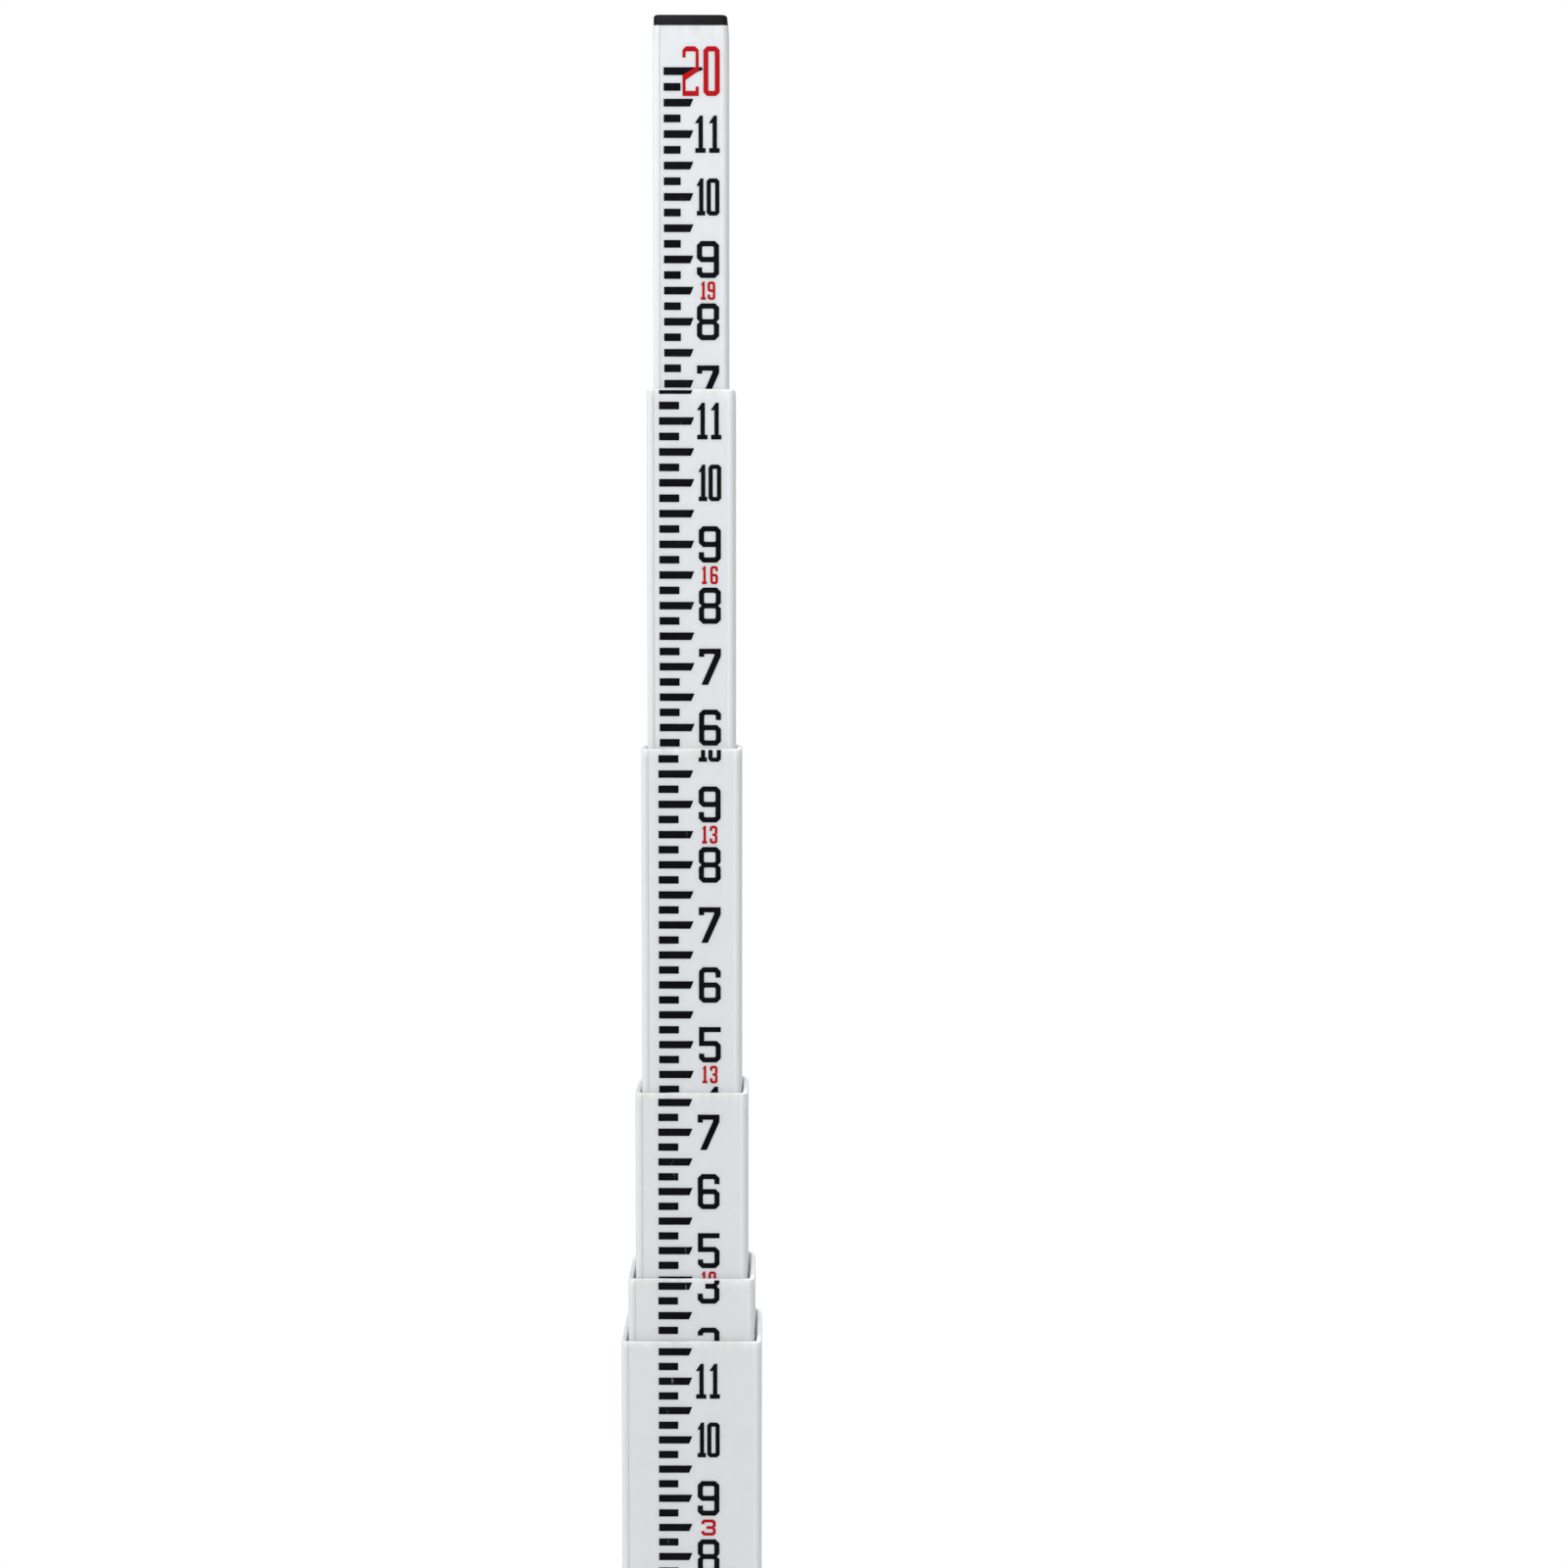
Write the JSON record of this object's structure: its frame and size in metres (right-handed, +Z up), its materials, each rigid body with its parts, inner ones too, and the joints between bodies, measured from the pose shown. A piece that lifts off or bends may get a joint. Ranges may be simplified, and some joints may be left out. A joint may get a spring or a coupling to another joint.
{
  "type": "leveling rod",
  "caption": "Telescoping fibreglass leveling rod of nested rectangular tubes with printed scales, sprung lock buttons in back windows, a metal shoe and a top cap.",
  "frame": {"origin": "middle of the shoe's underside, on the ground, where both scales' heights start", "axes": "+Z up the rod, -Y out of the front face with the large scale, +Y out of the back face with the lock windows, +X to the right seen from the front"},
  "size_m": [0.0602, 0.0542, 1.7621],
  "materials": {
    "fibreglass": "satin white gel coat over a fine glass weave",
    "cap_plastic": "moulded black plastic",
    "block_plastic": "moulded natural nylon",
    "button_plastic": "moulded grey acetal",
    "spring_steel": "bare spring steel",
    "shoe_metal": "cast aluminium with a worn sole",
    "rivet_metal": "bare aluminium",
    "black_ink": "screen-printed black ink",
    "red_ink": "screen-printed red ink"
  },
  "bodies": {
    "base": {"section_1_tube": "fibreglass", "base_shoe": "shoe_metal", "base_shoe_rivets": "rivet_metal"},
    "section_2": {"section_2_tube": "fibreglass", "section_2_lock_block": "block_plastic", "section_2_block_rivets": "rivet_metal", "section_2_button_spring": "spring_steel"},
    "section_3": {"section_3_tube": "fibreglass", "section_3_lock_block": "block_plastic", "section_3_block_rivets": "rivet_metal", "section_3_button_spring": "spring_steel"},
    "section_4": {"section_4_tube": "fibreglass", "section_4_lock_block": "block_plastic", "section_4_block_rivets": "rivet_metal", "section_4_button_spring": "spring_steel"},
    "section_5": {"section_5_tube": "fibreglass", "section_5_lock_block": "block_plastic", "section_5_block_rivets": "rivet_metal", "section_5_button_spring": "spring_steel"},
    "section_6": {"section_6_tube": "fibreglass", "section_6_lock_block": "block_plastic", "section_6_block_rivets": "rivet_metal", "section_6_button_spring": "spring_steel", "top_cap": "cap_plastic"},
    "button_2": {"section_2_lock_button": "button_plastic"},
    "button_3": {"section_3_lock_button": "button_plastic"},
    "button_4": {"section_4_lock_button": "button_plastic"},
    "button_5": {"section_5_lock_button": "button_plastic"},
    "button_6": {"section_6_lock_button": "button_plastic"}
  },
  "joints": [
    {"name": "section_2_slide", "type": "slide", "parent": "base", "child": "section_2", "axis": [0, 0, 1], "range_m": [0, 0.97587]},
    {"name": "section_3_slide", "type": "slide", "parent": "section_2", "child": "section_3", "axis": [0, 0, 1], "range_m": [-0.05817, 0.95072]},
    {"name": "section_4_slide", "type": "slide", "parent": "section_3", "child": "section_4", "axis": [0, 0, 1], "range_m": [-0.12141, 0.82677]},
    {"name": "section_5_slide", "type": "slide", "parent": "section_4", "child": "section_5", "axis": [0, 0, 1], "range_m": [-0.13233, 0.8062]},
    {"name": "section_6_slide", "type": "slide", "parent": "section_5", "child": "section_6", "axis": [0, 0, 1], "range_m": [-0.13132, 0.79731]},
    {"name": "button_2_press", "type": "slide", "parent": "section_2", "child": "button_2", "axis": [0, 1, 0], "range_m": [-0.0015, 0], "stiffness_N_per_m": 800, "springref_m": 0.00375, "deforming": ["section_2_button_spring"]},
    {"name": "button_3_press", "type": "slide", "parent": "section_3", "child": "button_3", "axis": [0, 1, 0], "range_m": [-0.0015, 0], "stiffness_N_per_m": 800, "springref_m": 0.00375, "deforming": ["section_3_button_spring"]},
    {"name": "button_4_press", "type": "slide", "parent": "section_4", "child": "button_4", "axis": [0, 1, 0], "range_m": [-0.0015, 0], "stiffness_N_per_m": 800, "springref_m": 0.00375, "deforming": ["section_4_button_spring"]},
    {"name": "button_5_press", "type": "slide", "parent": "section_5", "child": "button_5", "axis": [0, 1, 0], "range_m": [-0.0015, 0], "stiffness_N_per_m": 800, "springref_m": 0.00375, "deforming": ["section_5_button_spring"]},
    {"name": "button_6_press", "type": "slide", "parent": "section_6", "child": "button_6", "axis": [0, 1, 0], "range_m": [-0.0015, 0], "stiffness_N_per_m": 800, "springref_m": 0.00375, "deforming": ["section_6_button_spring"]}
  ]
}
